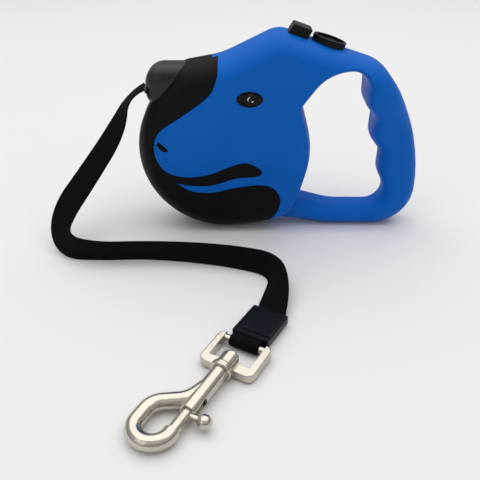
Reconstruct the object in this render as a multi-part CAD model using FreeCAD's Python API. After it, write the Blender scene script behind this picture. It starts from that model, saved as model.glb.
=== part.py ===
import FreeCAD, Part
import math
import os

# Retractable tape leash: two casing halves with a finger loop, a spring driven spool,
# a brake button with a sliding lock, and a webbing tape that ends in a swivel bolt snap.
# Frame: millimetres, +Z up, X along the casing (nose at -X), Y across it, origin at the
# bottom centre of the casing. Faces of the casing lie at -Y (front) and +Y (rear).

Vector = FreeCAD.Vector

# ---- driving dimensions -------------------------------------------------------------
BODY_LENGTH = 165.0
DRUM_RADIUS = 50.0
DRUM_X = DRUM_RADIUS - BODY_LENGTH / 2
DRUM_Z = DRUM_RADIUS
DRUM_HALF = 17.5                # half thickness of the drum and the button deck
GRIP_HALF = 11.2                # half thickness of the grip
DRUM_EDGE = 8.5                 # rounding of the drum's rim
GRIP_EDGE = 3.0                 # rounding of the grip's edges, inside and out
MASK_DEPTH = 1.2                # thickness of the soft black overmould

CAVITY_RADIUS = 46.8
CAVITY_HALF = 15.0
CAVITY_EDGE = 5.0
GRIP_WALL = 3.2
GRIP_CAVITY_HALF = 8.6

TAPE_WIDTH = 15.0
TAPE_THICKNESS = 1.0
TAPE_SECTION_RADIUS = 2.2       # round stand-in with the same area as the flat tape

FLANGE_RADIUS = 44.0
RATCHET_ROOT = 40.3
RATCHET_TEETH = 12
HUB_RADIUS = 24.0
HUB_WALL = 1.7
ROLL_RADIUS = 38.0
FLANGE_INNER = 8.0
FLANGE_OUTER = 9.5
AXLE_RADIUS = 4.0
BEARING_CLEARANCE = 0.05
ARBOR_RADIUS = 6.0

BRAKE_TILT = 31.75              # degrees from vertical, pointing at the drum's centre
BRAKE_TRAVEL = 4.2
BRAKE_TOP = 82.8                # highest edge of the button, from the drum's centre
CAP_HALF_LENGTH = 5.4
CAP_HALF_WIDTH = 5.0
CAP_FRONT_TOP = 80.4            # the same at the cap's edge towards the nose
LOCK_TRAVEL = 3.0
LOCK_X = 23.9
DECK_SLOPE = 17.8               # degrees the deck under the buttons falls towards the grip

TAPE_ROUTE = (
    (-76.3, 0.0, 85.9),
    (-86.5, -3.5, 82.5),
    (-93.5, -11.0, 63.5),
    (-111.0, -18.5, 39.5),
    (-128.5, -27.0, 17.0),
    (-124.0, -46.0, 8.0),
    (-103.0, -50.5, 7.5),
    (-78.0, -49.0, 7.5),
    (-52.0, -51.0, 7.5),
    (-27.0, -55.5, 7.5),
    (-4.0, -63.5, 7.2),
    (-4.0, -83.0, 4.2),
    (-8.2, -100.4, 3.0),
)

HOOK_ORIGIN = Vector(-30.9, -141.2, 5.6)
HOOK_HEADING = (-0.487, -0.873)
HOOK_DROP = 2.2                 # degrees the hook's axis falls towards its tip
SLEEVE_DROP = 1.2               # degrees the sleeve falls from the eye's bar to the floor
BAR_DISTANCE = 20.0
EYE_SINK = 2.8                  # how far the eye's frame lies below the hook's axis
BAR_RADIUS = 1.8
POST_RADIUS = 2.1
BOLT_TRAVEL = 8.0

BIG = 400.0
DRUM_CENTRE = Vector(DRUM_X, 0, DRUM_Z)
Y_AXIS = Vector(0, 1, 0)


# ---- helpers: outlines --------------------------------------------------------------
def unit(a, b):
    length = math.hypot(b[0] - a[0], b[1] - a[1])
    return ((b[0] - a[0]) / length, (b[1] - a[1]) / length)


def turn(before, after):
    return before[0] * after[1] - before[1] * after[0]


def inset_polygon(points, inset, closed=True):
    """Move every side of a counter-clockwise polygon inwards. Rounding follows along."""
    if inset == 0:
        return list(points)
    count = len(points)
    result = []
    for i, (x, z, radius) in enumerate(points):
        if not closed and i in (0, count - 1):
            result.append((x, z, radius))
            continue
        before = unit(points[i - 1], points[i])
        after = unit(points[i], points[(i + 1) % count])
        corner = turn(before, after)
        bisect = (after[0] - before[0], after[1] - before[1])
        size = math.hypot(*bisect)
        half = math.acos(max(-1.0, min(1.0, before[0] * after[0] + before[1] * after[1]))) / 2
        shift = inset / math.cos(half)
        sign = 1 if corner > 0 else -1
        moved = (x + sign * shift * bisect[0] / size, z + sign * shift * bisect[1] / size)
        result.append((moved[0], moved[1], max(radius - sign * inset, 0.0)))
    return result


def plane_point(x, z):
    return Vector(x, 0, z)


def rounded_edges(points, closed=True, lift=plane_point):
    """Straight sides joined by tangent arcs, through (x, z, corner radius) points."""
    count = len(points)
    starts = []
    arcs = []
    for i, (x, z, radius) in enumerate(points):
        inner = closed or 0 < i < count - 1
        if not inner or radius <= 0:
            starts.append(((x, z), (x, z)))
            arcs.append(None)
            continue
        before = unit(points[i - 1], points[i])
        after = unit(points[i], points[(i + 1) % count])
        half = math.acos(max(-1.0, min(1.0, before[0] * after[0] + before[1] * after[1]))) / 2
        reach = radius * math.tan(half)
        first = (x - before[0] * reach, z - before[1] * reach)
        last = (x + after[0] * reach, z + after[1] * reach)
        bisect = (after[0] - before[0], after[1] - before[1])
        size = math.hypot(*bisect)
        depth = radius / math.cos(half) - radius
        middle = (x + bisect[0] / size * depth, z + bisect[1] / size * depth)
        starts.append((first, last))
        arcs.append(middle)
    edges = []
    for i in range(count):
        first, last = starts[i]
        if arcs[i] is not None:
            edges.append(Part.Arc(lift(*first), lift(*arcs[i]), lift(*last)).toShape())
        if not closed and i == count - 1:
            break
        following = starts[(i + 1) % count][0]
        if math.hypot(following[0] - last[0], following[1] - last[1]) > 1e-6:
            edges.append(Part.LineSegment(lift(*last), lift(*following)).toShape())
    return edges


def rounded_wire(points, lift=plane_point):
    return Part.Wire(rounded_edges(points, True, lift))


def prism(wire, y_low, y_high):
    face = Part.Face(wire)
    face.translate(Vector(0, y_low, 0))
    return face.extrude(Vector(0, y_high - y_low, 0))


def rounded_prism(points, half, radius):
    """An outline extruded to both sides of Y = 0, with its two rims rounded."""
    solid = prism(rounded_wire(points), -half, half)
    return round_rims(solid, half, radius)


def round_rims(solid, half, radius):
    if radius <= 0:
        return solid
    rims = []
    for edge in solid.Edges:
        box = edge.BoundBox
        if box.YLength < 1e-6 and abs(abs(box.YMin) - half) < 1e-6:
            rims.append(edge)
    return solid.makeFillet(radius, rims)


def disc(radius, y_low, y_high, centre=DRUM_CENTRE):
    base = Vector(centre.x, y_low, centre.z)
    return Part.makeCylinder(radius, y_high - y_low, base, Y_AXIS)


def ring(outer, inner, y_low, y_high, centre=DRUM_CENTRE):
    return disc(outer, y_low, y_high, centre).cut(disc(inner, y_low, y_high, centre))


def half_space(front):
    low = -BIG if front else 0.0
    return Part.makeBox(2 * BIG, BIG, 2 * BIG, Vector(-BIG, low, -BIG))


def fuse_all(shapes):
    first, rest = shapes[0], shapes[1:]
    return first.fuse(rest).removeSplitter() if rest else first


def frame_placement(origin, x_axis, y_axis):
    z_axis = x_axis.cross(y_axis)
    matrix = FreeCAD.Matrix(
        x_axis.x, y_axis.x, z_axis.x, origin.x,
        x_axis.y, y_axis.y, z_axis.y, origin.y,
        x_axis.z, y_axis.z, z_axis.z, origin.z,
        0, 0, 0, 1)
    return FreeCAD.Placement(matrix)


def placed(shape, placement):
    moved = shape.copy()
    moved.transformShape(placement.toMatrix(), True)
    return moved


# ---- helpers: frames of the two controls --------------------------------------------
def brake_frame():
    """Local X along the deck's tangent, local Y across, local Z out along the stem."""
    tilt = math.radians(BRAKE_TILT)
    along = Vector(math.cos(tilt), 0, -math.sin(tilt))
    return frame_placement(DRUM_CENTRE, along, Y_AXIS)


def lock_frame():
    """Local X down the deck towards the grip, local Z out of the deck."""
    slope = math.radians(DECK_SLOPE)
    along = Vector(math.cos(slope), 0, -math.sin(slope))
    origin = Vector(LOCK_X, 0, deck_height(LOCK_X))
    return frame_placement(origin, along, Y_AXIS)


def deck_height(x):
    peak_x, peak_z, _ = CASING_POINTS[2]
    return peak_z - (x - peak_x) * math.tan(math.radians(DECK_SLOPE))


def box_in(placement, x_range, y_range, z_range):
    size = [high - low for low, high in (x_range, y_range, z_range)]
    corner = Vector(x_range[0], y_range[0], z_range[0])
    return placed(Part.makeBox(*size, corner), placement)


def rod_in(placement, radius, z_low, z_high):
    return placed(Part.makeCylinder(radius, z_high - z_low, Vector(0, 0, z_low)), placement)


# ---- casing outlines ----------------------------------------------------------------
# (x, z, corner radius), along the top towards the grip, down it, and back along the
# bottom to the drum.
PEAK = (-3.0, 118.0, 14.0)
GRIP_SHOULDER = (54.2, 99.6, 26.0)
CASING_POINTS = (
    (-56.0, 99.0, 12.0),
    (-33.5, 103.2, 40.0),
    PEAK,
    GRIP_SHOULDER,
    (65.7, 85.9, 66.0),
    (77.1, 61.5, 100.0),
    (82.5, 36.0, 100.0),
    (82.5, 0.0, 24.0),
    (28.0, 0.0, 60.0),
    (4.0, 4.0, 40.0),
)
HOLE_POINTS = (
    (11.5, 78.0, 3.0),
    (19.1, 50.5, 50.0),
    (11.0, 18.8, 3.0),
    (32.0, 13.0, 40.0),
    (63.6, 13.0, 10.0),
    (63.2, 25.6, 8.0),
    (58.6, 35.4, 12.0),
    (58.8, 48.4, 6.5),
    (51.6, 57.4, 9.0),
    (52.8, 70.2, 6.0),
    (46.6, 78.0, 8.0),
    (46.2, 97.2, 9.0),
    (25.5, 97.2, 22.0),
)
DECK_POINTS = CASING_POINTS[:3] + (
    (50.0, deck_height(50.0), 12.0),
    (44.0, 80.0, 12.0),
    (22.0, 70.0, 12.0),
)


def tangent_point(corner, inset, upper):
    """Where the line from a corner touches the drum's circle."""
    radius = DRUM_RADIUS - inset
    dx = corner[0] - DRUM_X
    dz = corner[1] - DRUM_Z
    angle = math.atan2(dz, dx)
    swing = math.acos(radius / math.hypot(dx, dz))
    touch = angle + swing if upper else angle - swing
    return (DRUM_X + radius * math.cos(touch), DRUM_Z + radius * math.sin(touch))


def drum_outline(points, inset):
    """The drum's circle closed by a chain of rounded corners, moved inwards by inset."""
    first = tangent_point(points[0], 0, True)
    last = tangent_point(points[-1], 0, False)
    chain = [(first[0], first[1], 0.0)] + list(points) + [(last[0], last[1], 0.0)]
    chain.reverse()
    chain = inset_polygon(chain, inset, closed=False)
    chain.reverse()
    start = tangent_point(chain[1], inset, True)
    end = tangent_point(chain[-2], inset, False)
    chain[0] = (start[0], start[1], 0.0)
    chain[-1] = (end[0], end[1], 0.0)
    edges = rounded_edges(chain, closed=False)
    far = plane_point(DRUM_X - DRUM_RADIUS + inset, DRUM_Z)
    edges.append(Part.Arc(plane_point(*end), far, plane_point(*start)).toShape())
    return Part.Wire(edges)


def drum_block(inset):
    """Drum and button deck: the thick part of the casing."""
    half = DRUM_HALF - inset
    wire = drum_outline(DECK_POINTS, inset)
    return round_rims(prism(wire, -half, half), half, DRUM_EDGE - inset)


def grip_block():
    """Whole outline at the grip's thickness: the hand loop behind the drum."""
    outer = prism(drum_outline(CASING_POINTS, 0), -GRIP_HALF, GRIP_HALF)
    return round_rims(outer.cut(finger_hole()), GRIP_HALF, GRIP_EDGE)


def finger_hole():
    return prism(rounded_wire(HOLE_POINTS), -BIG, BIG)


# ---- nose guide ---------------------------------------------------------------------
NOSE_HALF = 11.0
NOSE_EDGE = 4.5
NOSE_FRONT = -76.3
NOSE_POINTS = (
    (NOSE_FRONT, 99.3, 9.5),
    (NOSE_FRONT, 76.5, 5.0),
    (-48.0, 76.5, 0.0),
    (-48.0, 99.3, 0.0),
)
SLOT_HALF_WIDTH = 8.2
SLOT_HEIGHT = 2.6
ROLL_CLEARANCE = 0.8


def tape_line():
    """Where the tape leaves the roll and where it passes the nose, as (x, z) points."""
    exit_x, _, exit_z = TAPE_ROUTE[0]
    reach = ROLL_RADIUS + ROLL_CLEARANCE
    dx = exit_x - DRUM_X
    dz = exit_z - DRUM_Z
    angle = math.atan2(dz, dx) - math.acos(reach / math.hypot(dx, dz))
    return (DRUM_X + reach * math.cos(angle), DRUM_Z + reach * math.sin(angle)), (exit_x, exit_z)


def tape_slab(half_width, height, overrun):
    """A flat bar along the straight stretch of tape between roll and nose."""
    start, end = tape_line()
    along = Vector(end[0] - start[0], 0, end[1] - start[1])
    length = along.Length
    along.normalize()
    place = frame_placement(Vector(start[0], 0, start[1]), along, Y_AXIS)
    return box_in(place, (-overrun, length + overrun), (-half_width, half_width),
                  (-height / 2, height / 2))


def nose_guide():
    body = rounded_prism(NOSE_POINTS, NOSE_HALF, NOSE_EDGE)
    body = body.cut(disc(CAVITY_RADIUS + 0.6, -BIG, BIG))
    return body.cut(tape_slab(SLOT_HALF_WIDTH, SLOT_HEIGHT, 10.0))


def tape_inner():
    """The straight stretch of tape inside the casing, from the roll to the nose."""
    bar = tape_slab(TAPE_WIDTH / 2, TAPE_THICKNESS, 0.0)
    return bar


# ---- cavities and bosses ------------------------------------------------------------
SCREWS = (                      # x, z and half thickness of the casing there
    (-14.0, 100.0, DRUM_HALF),
    (5.0, 13.0, GRIP_HALF),
    (56.0, 84.5, GRIP_HALF),
    (71.5, 40.0, GRIP_HALF),
    (72.0, 14.0, GRIP_HALF),
)
SCREW_RADIUS = 1.5
SCREW_HEAD_RADIUS = 2.9
SCREW_HEAD_HEIGHT = 2.2
SCREW_HEAD_DEPTH = 3.2          # seat of the head below the casing's rear face
SCREW_REACH = 7.0               # how far the tip goes into the front half
BOSS_RADIUS = 3.6
AXLE_BOSS_RADIUS = 7.5
AXLE_BOSS_FACE = 11.9
AXLE_END = 15.6


def drum_cavity():
    cavity = disc(CAVITY_RADIUS, -CAVITY_HALF, CAVITY_HALF)
    return cavity.makeFillet(CAVITY_EDGE, [e for e in cavity.Edges if e.BoundBox.YLength < 1e-6])


def grip_cavity():
    """The hollow of the hand grip, between its inner and outer walls."""
    outer = prism(drum_outline(CASING_POINTS, GRIP_WALL), -GRIP_CAVITY_HALF, GRIP_CAVITY_HALF)
    grown = inset_polygon(HOLE_POINTS, -GRIP_WALL)
    inner = prism(rounded_wire(grown), -BIG, BIG)
    grip_only = Part.makeBox(60, 40, 90, Vector(50, -20, 0))
    return outer.cut(inner).common(grip_only)


def control_pockets():
    """Room for the brake stem, its spring and pawl, and the lock's fork."""
    brake = brake_frame()
    lock = lock_frame()
    cap_x = CAP_HALF_LENGTH + 0.3
    cap_y = CAP_HALF_WIDTH + 0.3
    cap_floor = CAP_LOW - BRAKE_TRAVEL - 1.0
    pawl_x = PAWL_HALF_LENGTH + 0.4
    pawl_y = PAWL_HALF_WIDTH + 0.4
    fork_y = FORK_HALF_WIDTH + 0.4
    neck_y = NECK_HALF + 0.3
    return [
        box_in(brake, (-cap_x, cap_x), (-cap_y, cap_y), (cap_floor, BRAKE_TOP)),
        rod_in(brake, 5.6, SPRING_SEAT, cap_floor + 0.2),
        rod_in(brake, ROD_RADIUS + 0.08, PAWL_TOP - 1, SPRING_SEAT + 1),
        box_in(brake, (-pawl_x, pawl_x), (-pawl_y, pawl_y), (PAWL_LOW - BRAKE_TRAVEL - 0.6, PAWL_TOP + 2.5)),
        box_in(lock, (FORK_FRONT - 2.2, -11.0), (-fork_y, fork_y), (LUG_LOW - 4.8, FORK_CEILING)),
        box_in(lock, (-11.0, 9.2 + LOCK_TRAVEL), (-fork_y, fork_y), (FORK_LOW - 0.6, FORK_CEILING)),
        box_in(lock, (-neck_y, NECK_HALF + LOCK_TRAVEL + 0.4), (-neck_y, neck_y), (-3.0, 4.0)),
    ]


def screw_boss(x, z, half):
    return disc(BOSS_RADIUS, -half + 1.5, half - 1.5, Vector(x, 0, z))


def screw_room(x, z, half):
    """Shank hole and head recess, open to the rear."""
    centre = Vector(x, 0, z)
    shank = disc(SCREW_RADIUS, -SCREW_REACH, half, centre)
    head = disc(SCREW_HEAD_RADIUS + 0.3, half - SCREW_HEAD_DEPTH, half + 5, centre)
    return shank.fuse(head)


def casing_body():
    """Both casing halves in one, hollowed out, before the overmould is let in."""
    outside = grip_block().fuse(drum_block(0)).cut(finger_hole())
    hollow = drum_cavity().fuse([grip_cavity()] + control_pockets())
    bosses = [screw_boss(*place) for place in SCREWS[2:]]
    axle_bosses = [
        disc(AXLE_BOSS_RADIUS, AXLE_BOSS_FACE, CAVITY_HALF + 0.1),
        disc(AXLE_BOSS_RADIUS, -CAVITY_HALF - 0.1, -AXLE_BOSS_FACE),
    ]
    body = outside.cut(hollow).fuse(bosses + axle_bosses)
    body = body.cut([screw_room(*place) for place in SCREWS])
    body = body.cut(disc(AXLE_RADIUS, -AXLE_END, AXLE_END))
    nose = rounded_prism(NOSE_POINTS, NOSE_HALF, NOSE_EDGE)
    return body.cut([nose, tape_slab(SLOT_HALF_WIDTH, SLOT_HEIGHT + 2, 10.0)])


# ---- soft overmould (the dark face markings) ----------------------------------------
MASK_EDGE = (                   # from the top of the casing round the muzzle to the floor
    (-35.5, 97.0), (-39.0, 88.0), (-45.5, 81.5), (-58.0, 72.6), (-68.5, 65.2),
    (-72.2, 57.0), (-71.2, 47.8), (-65.5, 40.0), (-54.0, 37.0), (-41.0, 38.9),
    (-29.0, 43.8), (-20.0, 46.0), (-12.5, 42.6), (-11.2, 39.2), (-15.5, 37.2),
    (-26.0, 36.2), (-40.0, 31.8), (-52.0, 31.6), (-61.0, 33.4),
)
MASK_CHIN = (                   # the light strip under the mouth line, back to the floor
    (-61.0, 33.4), (-52.0, 28.0), (-40.0, 27.0), (-26.0, 30.2), (-12.0, 31.9),
    (-3.5, 29.4), (0.3, 22.0), (-1.5, 13.8), (-5.0, 8.0), (-8.0, -4.0),
)
REAR_STEP = 3.6                 # the rear marking starts this much nearer the nose
EYE_CENTRE = (-18.3, 84.1)
EYE_LONG = 7.8
EYE_SHORT = 4.8
EYE_RECESS = 0.8
EYE_PROUD = 0.7


def spline(points):
    curve = Part.BSplineCurve()
    curve.interpolate([plane_point(x, z) for x, z in points])
    return curve.toShape()


def mask_region(front):
    """Everything in front of the marking's edge, as a bar across the casing."""
    step = 0.0 if front else REAR_STEP
    top_x, top_z = MASK_EDGE[0]
    corner = (top_x - step, 130.0)
    knee = (top_x - step, top_z + 3.0)
    edges = [Part.LineSegment(plane_point(*corner), plane_point(*knee)).toShape()]
    edges.append(Part.LineSegment(plane_point(*knee), plane_point(top_x, top_z)).toShape())
    edges.append(spline(MASK_EDGE))
    edges.append(spline(MASK_CHIN))
    chain = [MASK_CHIN[-1], (MASK_CHIN[-1][0], -20.0), (-120.0, -20.0), (-120.0, 130.0), corner]
    for start, end in zip(chain, chain[1:]):
        edges.append(Part.LineSegment(plane_point(*start), plane_point(*end)).toShape())
    low, high = (-BIG, 0.0) if front else (0.0, BIG)
    return prism(Part.Wire(edges), low, high)


def mask(front, skin, body):
    region = mask_region(front)
    return skin.common(region).common(body)


def eye_shape(front, low, high):
    """An oval bar across the casing's face between two heights above it."""
    face_y = DRUM_HALF
    oval = Part.Ellipse(Vector(EYE_CENTRE[0], 0, EYE_CENTRE[1]), EYE_LONG, EYE_SHORT)
    turned = oval.toShape()
    turned.rotate(Vector(EYE_CENTRE[0], 0, EYE_CENTRE[1]), Vector(1, 0, 0), 90)
    wire = Part.Wire([turned])
    if front:
        return prism(wire, -face_y - high, -face_y - low)
    return prism(wire, face_y + low, face_y + high)


# ---- spool --------------------------------------------------------------------------
def toothed_disc(y_low, y_high):
    """A flange with square gaps round its rim; one gap faces the brake's pawl."""
    body = disc(FLANGE_RADIUS, y_low, y_high)
    pitch = 360.0 / RATCHET_TEETH
    gap_half = 5.6
    gaps = []
    for i in range(RATCHET_TEETH):
        tilt = math.radians(BRAKE_TILT + i * pitch)
        along = Vector(math.cos(tilt), 0, -math.sin(tilt))
        place = frame_placement(DRUM_CENTRE, along, Y_AXIS)
        gaps.append(box_in(place, (-gap_half, gap_half), (y_low - 1, y_high + 1),
                           (RATCHET_ROOT, FLANGE_RADIUS + 3)))
    return body.cut(gaps)


BEARING_RADIUS = 7.0
BEARING_LENGTH = 3.5
COVER_RADIUS = 27.0
COVER_FACE = 11.1
SPOOL_SCREW_CIRCLE = 25.4
SPOOL_SCREW_RADIUS = 0.7


def spool_screw_places():
    for i in range(3):
        angle = math.radians(30 + 120 * i)
        yield Vector(DRUM_X + SPOOL_SCREW_CIRCLE * math.cos(angle), 0,
                     DRUM_Z + SPOOL_SCREW_CIRCLE * math.sin(angle))


def spool_drum():
    """Front flange with its ratchet rim, and the hub the tape winds on."""
    flange = toothed_disc(-FLANGE_OUTER, -FLANGE_INNER)
    hub = ring(HUB_RADIUS, HUB_RADIUS - HUB_WALL, -FLANGE_INNER - 0.5, FLANGE_INNER)
    bearing = disc(BEARING_RADIUS, -FLANGE_OUTER - 1.9, -FLANGE_OUTER + BEARING_LENGTH)
    body = flange.fuse([hub, bearing])
    return body.cut(disc(AXLE_RADIUS + BEARING_CLEARANCE, -BIG, BIG)).removeSplitter()


def rear_flange():
    body = toothed_disc(FLANGE_INNER, FLANGE_OUTER)
    body = body.cut(disc(HUB_RADIUS - HUB_WALL, -BIG, BIG))
    return body.cut([disc(SPOOL_SCREW_RADIUS, 0, BIG, place) for place in spool_screw_places()])


def spring_cover():
    """The plate that closes the spring chamber, with the rear bearing."""
    plate = disc(COVER_RADIUS, FLANGE_OUTER, COVER_FACE)
    bearing = disc(BEARING_RADIUS, FLANGE_INNER, COVER_FACE + 0.4)
    body = plate.fuse(bearing)
    body = body.cut(disc(AXLE_RADIUS + BEARING_CLEARANCE, -BIG, BIG))
    return body.cut([disc(SPOOL_SCREW_RADIUS, 0, BIG, place) for place in spool_screw_places()])


def spool_screws():
    screws = []
    for place in spool_screw_places():
        shank = disc(SPOOL_SCREW_RADIUS, FLANGE_INNER, COVER_FACE, place)
        head = disc(SPOOL_SCREW_RADIUS * 1.9, COVER_FACE, COVER_FACE + 0.6, place)
        screws.append(shank.fuse(head).removeSplitter())
    return Part.makeCompound(screws)


def tape_roll():
    return ring(ROLL_RADIUS, HUB_RADIUS, -TAPE_WIDTH / 2, TAPE_WIDTH / 2)


SPRING_TURNS = 8
SPRING_THICKNESS = 0.5
SPRING_INNER = 6.5
SPRING_OUTER = HUB_RADIUS - HUB_WALL - 0.02
SPRING_LOW = -4.5
SPRING_HIGH = 7.0


def power_spring():
    """A flat spiral spring of half circles, wound against the hub's inside."""
    halves = SPRING_TURNS * 2
    growth = (SPRING_OUTER - SPRING_THICKNESS - SPRING_INNER) / halves
    inner = []
    outer = []
    radius = SPRING_INNER
    centre = DRUM_X
    side = 1
    for i in range(halves):
        for chain, extra in ((inner, 0.0), (outer, SPRING_THICKNESS)):
            size = radius + extra
            points = [plane_point(centre - side * size, DRUM_Z),
                      plane_point(centre, DRUM_Z + side * size),
                      plane_point(centre + side * size, DRUM_Z)]
            chain.append(Part.Arc(*points).toShape())
        centre -= side * growth
        radius += growth
        side = -side
    ends = [(inner[0].Vertexes[0].Point, outer[0].Vertexes[0].Point)]
    last_inner = plane_point(centre - side * radius, DRUM_Z)
    last_outer = plane_point(centre - side * (radius + SPRING_THICKNESS), DRUM_Z)
    ends.append((last_inner, last_outer))
    closing = [Part.LineSegment(a, b).toShape() for a, b in ends]
    wire = Part.Wire(Part.__sortEdges__(inner + outer + closing))
    return prism(wire, SPRING_LOW, SPRING_HIGH)


def axle():
    return disc(AXLE_RADIUS, -AXLE_END, AXLE_END)


def spring_arbor():
    """The slotted sleeve on the axle that holds the spring's inner end."""
    return ring(ARBOR_RADIUS, AXLE_RADIUS, SPRING_LOW - 0.8, SPRING_HIGH + 0.5)


# ---- brake and lock -----------------------------------------------------------------
ROD_RADIUS = 3.0
CAP_LOW = 66.0
LUG_FRONT = -18.0
LUG_BACK = -14.8
LUG_TOP = -3.0
LUG_LOW = -5.0
LUG_HALF_WIDTH = 8.4
PAWL_HALF_LENGTH = 3.5
PAWL_HALF_WIDTH = 9.8
PAWL_LOW = 44.8
PAWL_TOP = 50.0
SPRING_SEAT = 55.0              # floor of the brake spring's pocket, from the drum's centre


def brake_button():
    """The push button with its side lugs, stem and pawl, all moving as one."""
    place = brake_frame()
    side = Part.makePolygon([
        plane_point(-CAP_HALF_LENGTH, CAP_LOW),
        plane_point(CAP_HALF_LENGTH, CAP_LOW),
        plane_point(CAP_HALF_LENGTH, BRAKE_TOP),
        plane_point(-CAP_HALF_LENGTH, CAP_FRONT_TOP),
        plane_point(-CAP_HALF_LENGTH, CAP_LOW),
    ])
    cap = prism(Part.Wire(side.Edges), -CAP_HALF_WIDTH, CAP_HALF_WIDTH)
    uprights = [e for e in cap.Edges if e.BoundBox.XLength + e.BoundBox.YLength < 1e-6]
    cap = cap.makeFillet(1.5, uprights)
    rim = [e for e in cap.Edges if e.BoundBox.ZMin > CAP_FRONT_TOP - 0.5]
    cap = placed(cap.makeFillet(0.9, rim), place)
    rod = rod_in(place, ROD_RADIUS, PAWL_TOP - 0.5, CAP_LOW + 1)
    pawl = box_in(place, (-PAWL_HALF_LENGTH, PAWL_HALF_LENGTH), (-PAWL_HALF_WIDTH, PAWL_HALF_WIDTH),
                  (PAWL_LOW, PAWL_TOP))
    lug = box_in(lock_frame(), (LUG_FRONT, LUG_BACK), (-LUG_HALF_WIDTH, LUG_HALF_WIDTH), (LUG_LOW, LUG_TOP))
    return cap.fuse([rod, pawl, lug]).removeSplitter()


def coil(radius, wire_radius, length, turns):
    """A compression spring along local Z, starting at the origin."""
    pitch = length / turns
    helix = Part.makeHelix(pitch, length, radius)
    start = Vector(0, 1, pitch / (2 * math.pi * radius))
    profile = Part.Wire([Part.makeCircle(wire_radius, Vector(radius, 0, 0), start)])
    return Part.Wire(helix.Edges).makePipeShell([profile], True, True)


def brake_spring():
    wire = 0.55
    spring = coil(4.4, wire, CAP_LOW - SPRING_SEAT - 2 * wire - 0.2, 5)
    spring.translate(Vector(0, 0, SPRING_SEAT + wire + 0.1))
    return placed(spring, brake_frame())


DISH_HALF_LENGTH = 9.4
DISH_HALF_WIDTH = 6.8
DISH_TOP = 3.6
DISH_FLOOR = 2.6
DISH_RIM = 1.5
DISH_SHIFT = 0.4                # the dish sits this far behind its neck, clear of the button
NECK_HALF = 4.0
FORK_HALF_WIDTH = 10.4
FORK_FRONT = -22.4
FORK_LOW = -6.5
FORK_THICKNESS = 1.2
FORK_CEILING = -2.6


def lock_slider():
    """Thumb slider: oval dish outside, neck through the deck, fork round the button."""
    place = lock_frame()
    dish = oval_bar(DISH_HALF_LENGTH, DISH_HALF_WIDTH, 0.4, DISH_TOP)
    hollow = (DISH_HALF_LENGTH - DISH_RIM, DISH_HALF_WIDTH - DISH_RIM)
    dish = dish.cut(oval_bar(*hollow, DISH_FLOOR, DISH_TOP + 1))
    dish.translate(Vector(DISH_SHIFT, 0, 0))
    neck = Part.makeBox(2 * NECK_HALF, 2 * NECK_HALF, 0.6 - FORK_LOW - 1.0,
                        Vector(-NECK_HALF, -NECK_HALF, FORK_LOW + 1.0))
    plate = Part.makeBox(15, 2 * FORK_HALF_WIDTH, FORK_THICKNESS, Vector(-8, -FORK_HALF_WIDTH, FORK_LOW))
    parts = [dish, neck, plate]
    for side in (-1, 1):
        rail_y = (side * 8.7, side * FORK_HALF_WIDTH)
        prong_y = (side * 6.9, side * 9.9)
        rail = Part.makeBox(15.4, 1.7, FORK_THICKNESS, Vector(FORK_FRONT, min(rail_y), FORK_LOW))
        prong = Part.makeBox(3.0, 3.0, FORK_THICKNESS, Vector(FORK_FRONT, min(prong_y), FORK_LOW))
        parts += [rail, prong]
    return placed(fuse_all(parts), place)


def oval_bar(half_length, half_width, z_low, z_high):
    oval = Part.Ellipse(Vector(0, 0, z_low), half_length, half_width)
    return Part.Face(Part.Wire([oval.toShape()])).extrude(Vector(0, 0, z_high - z_low))


# ---- casing screws ------------------------------------------------------------------
def casing_screws():
    screws = []
    for x, z, half in SCREWS:
        centre = Vector(x, 0, z)
        seat = half - SCREW_HEAD_DEPTH
        shank = disc(SCREW_RADIUS, -SCREW_REACH + 0.5, seat, centre)
        head = disc(SCREW_HEAD_RADIUS, seat, seat + SCREW_HEAD_HEIGHT, centre)
        slots = [
            Part.makeBox(3.4, 1.2, 0.8, Vector(x - 1.7, seat + SCREW_HEAD_HEIGHT - 1.2, z - 0.4)),
            Part.makeBox(0.8, 1.2, 3.4, Vector(x - 0.4, seat + SCREW_HEAD_HEIGHT - 1.2, z - 1.7)),
        ]
        screws.append(shank.fuse(head).removeSplitter().cut(slots))
    return Part.makeCompound(screws)


# ---- free tape ----------------------------------------------------------------------
def route_edges(points):
    """Straight runs joined by tangent arcs, each as large as its two runs allow."""
    vectors = [Vector(*point) for point in points]
    edges = []
    radii = []
    start = vectors[0]
    for before, corner, after in zip(vectors, vectors[1:], vectors[2:]):
        run_in = corner - before
        run_out = after - corner
        reach = 0.45 * min(run_in.Length, run_out.Length)
        half = run_in.getAngle(run_out) / 2
        radius = reach / math.tan(half)
        towards = Vector(run_in).normalize()
        onwards = Vector(run_out).normalize()
        first = corner - towards * reach
        last = corner + onwards * reach
        bisect = (onwards - towards).normalize()
        middle = corner + bisect * (radius / math.cos(half) - radius)
        edges.append(Part.LineSegment(start, first).toShape())
        edges.append(Part.Arc(first, middle, last).toShape())
        radii.append(radius)
        start = last
    edges.append(Part.LineSegment(start, vectors[-1]).toShape())
    return edges, radii


def leash_tape():
    edges, radii = route_edges(TAPE_ROUTE)
    path = Part.Wire(edges)
    first = Vector(*TAPE_ROUTE[0])
    heading = Vector(*TAPE_ROUTE[1]) - first
    profile = Part.Wire([Part.makeCircle(TAPE_SECTION_RADIUS, first, heading)])
    tube = path.makePipeShell([profile], True, False)
    expected = math.pi * TAPE_SECTION_RADIUS ** 2 * path.Length
    print("tape length", round(path.Length, 1), "volume / (section x length)",
          round(tube.Volume / expected, 4))
    print("tape radii", [round(radius, 1) for radius in radii])
    return tube


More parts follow.
